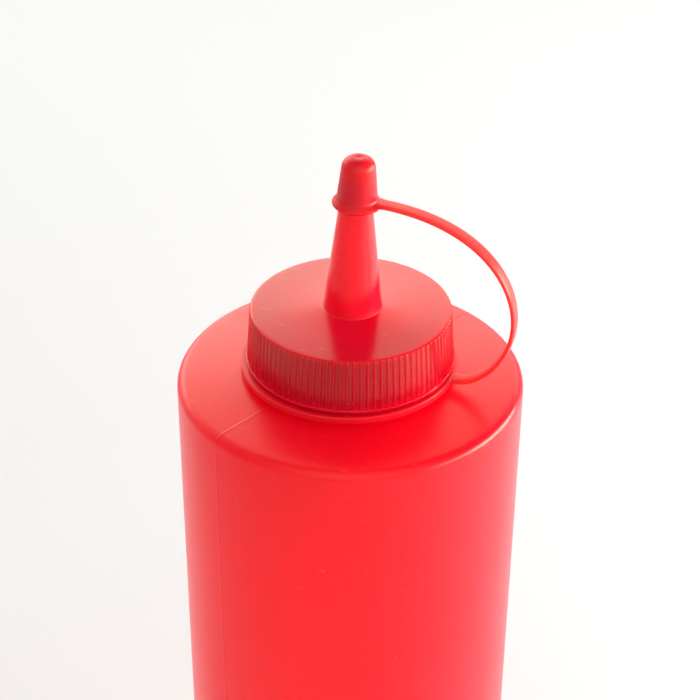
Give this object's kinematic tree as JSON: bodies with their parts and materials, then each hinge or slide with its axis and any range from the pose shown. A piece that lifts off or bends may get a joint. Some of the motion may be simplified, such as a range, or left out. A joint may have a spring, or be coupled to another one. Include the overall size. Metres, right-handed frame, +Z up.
{
  "type": "squeeze bottle",
  "caption": "Round squeeze bottle with a ribbed screw lid, a tall tapered nozzle and a tip cap held by a curved strap on a collar ring.",
  "frame": {"origin": "centre of the base, on the surface that the bottle stands on", "axes": "+Z up along the bottle; +X from the nozzle towards the strap's loop; the loop stands in the XZ plane"},
  "size_m": [0.07, 0.07, 0.2394],
  "materials": {
    "bottle": "smooth soft plastic, slightly translucent",
    "lid": "gloss, with a ribbed grip",
    "tip_cap": "soft satin gloss"
  },
  "bodies": {
    "root": {"bottle": "bottle", "lid": "lid", "tip_cap": "tip_cap"}
  },
  "joints": []
}
